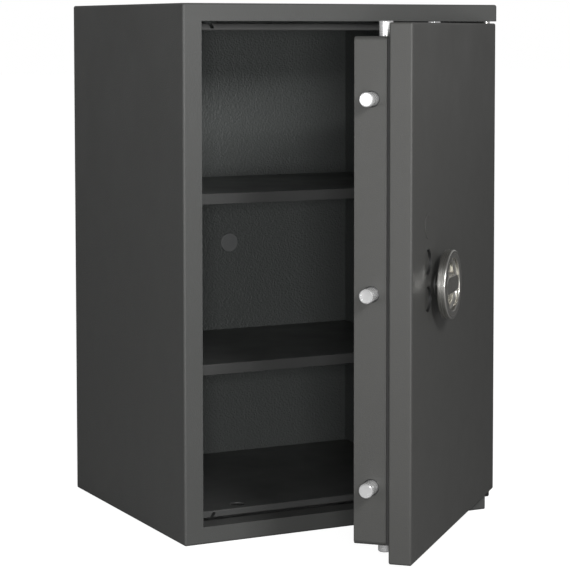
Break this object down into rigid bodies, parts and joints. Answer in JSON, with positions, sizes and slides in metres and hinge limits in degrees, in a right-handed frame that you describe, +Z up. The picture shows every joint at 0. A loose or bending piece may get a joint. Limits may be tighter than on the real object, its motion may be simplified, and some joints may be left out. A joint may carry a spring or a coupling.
{
  "type": "safe",
  "caption": "Free-standing steel security cabinet with an open hinged door, wheel handle, coupled bolt work, key lock, shelves and a rear anchor hole.",
  "frame": {"origin": "middle of the cabinet footprint, on the floor that it stands on", "axes": "+Z up, +Y from the front to the back wall, +X to the right as seen from the front"},
  "size_m": [0.5417, 0.7878, 0.8],
  "materials": {
    "cabinet_paint": "fine-textured satin graphite powder coat",
    "liner_paint": "fine-textured satin graphite powder coat",
    "shelf_paint": "smooth satin graphite paint",
    "fire_filler": "pale cast mineral filler",
    "door_paint": "fine-textured satin graphite powder coat",
    "dark_steel": "dark primed steel",
    "seal_rubber": "matt",
    "bright_zinc": "polished",
    "satin_nickel": "satin nickel, turned",
    "turned_steel": "turned",
    "bush_brass": "machined",
    "guide_nylon": "moulded",
    "cap_grey": "moulded"
  },
  "bodies": {
    "cabinet": {"left_side_panel": "cabinet_paint", "right_side_panel": "cabinet_paint", "top_panel": "cabinet_paint", "bottom_panel": "cabinet_paint", "rear_panel": "cabinet_paint", "inner_left_wall": "liner_paint", "inner_right_wall": "liner_paint", "inner_top_wall": "liner_paint", "inner_rear_wall": "liner_paint", "left_strike": "liner_paint", "upper_shelf": "shelf_paint", "lower_shelf": "shelf_paint", "shelf_clips": "shelf_paint", "inner_floor": "shelf_paint", "top_strike": "shelf_paint", "bottom_strike": "shelf_paint", "left_fill": "fire_filler", "right_fill": "fire_filler", "top_fill": "fire_filler", "bottom_fill": "fire_filler", "rear_fill": "fire_filler", "hinge_lug": "dark_steel", "upper_hinge_pin": "bright_zinc", "lower_hinge_pin": "bright_zinc", "anchor_sleeve": "turned_steel", "thrust_washer": "bush_brass", "anchor_cap": "cap_grey"},
    "door": {"door_skin": "door_paint", "door_fill": "fire_filler", "door_back_plate": "dark_steel", "door_neck": "dark_steel", "fire_seal": "seal_rubber", "bolt_box": "door_paint", "inner_cover": "door_paint", "cover_screws": "bright_zinc", "dog_bolts": "bright_zinc", "bolt_guides": "guide_nylon", "hinge_bushes": "bush_brass", "spindle_bush": "bush_brass", "handle_rosette": "door_paint", "blanking_caps": "door_paint", "cap_rings": "guide_nylon", "keyhole_escutcheon": "turned_steel", "cover_pin": "door_paint", "lock_case": "dark_steel", "lock_cover": "dark_steel", "lock_levers": "bush_brass", "lock_screws": "bright_zinc"},
    "handle": {"handle_wheel": "satin_nickel", "handle_spindle": "turned_steel", "crank_disc": "dark_steel", "crank_pins": "turned_steel"},
    "latch_bolt_work": {"latch_bar": "dark_steel", "latch_bolts": "bright_zinc"},
    "top_bolt_work": {"top_bar": "dark_steel", "top_bolts": "bright_zinc"},
    "bottom_bolt_work": {"bottom_bar": "dark_steel", "bottom_bolts": "bright_zinc"},
    "lock_bolt": {"lock_bolt": "bright_zinc"},
    "keyhole_cover": {"keyhole_cover": "door_paint"}
  },
  "joints": [
    {"name": "door_hinge", "type": "hinge", "parent": "cabinet", "child": "door", "pos_m": [0.257, -0.21, 0.4], "axis": [0, 0, 1], "range_deg": [-45, 135]},
    {"name": "handle_turn", "type": "hinge", "parent": "door", "child": "handle", "pos_m": [0.02153, -0.48224, 0.402], "axis": [-0.7071, 0.7071, 0], "range_deg": [-90, 0]},
    {"name": "latch_slide", "type": "slide", "parent": "door", "child": "latch_bolt_work", "axis": [-0.7071, -0.7071, 0], "range_m": [-0.024, 0]},
    {"name": "top_slide", "type": "slide", "parent": "door", "child": "top_bolt_work", "axis": [0, 0, 1], "range_m": [-0.024, 0]},
    {"name": "bottom_slide", "type": "slide", "parent": "door", "child": "bottom_bolt_work", "axis": [0, 0, -1], "range_m": [-0.024, 0]},
    {"name": "lock_bolt_slide", "type": "slide", "parent": "door", "child": "lock_bolt", "axis": [0, 0, 1], "range_m": [0, 0.014]},
    {"name": "keyhole_cover_swing", "type": "hinge", "parent": "door", "child": "keyhole_cover", "pos_m": [-0.02202, -0.50656, 0.503], "axis": [-0.7071, 0.7071, 0], "range_deg": [-110, 110]}
  ],
  "couplings": [
    {"joint": "latch_slide", "follows": "handle_turn", "m_per_rad": 0.015279},
    {"joint": "top_slide", "follows": "handle_turn", "m_per_rad": 0.015279},
    {"joint": "bottom_slide", "follows": "handle_turn", "m_per_rad": 0.015279}
  ]
}
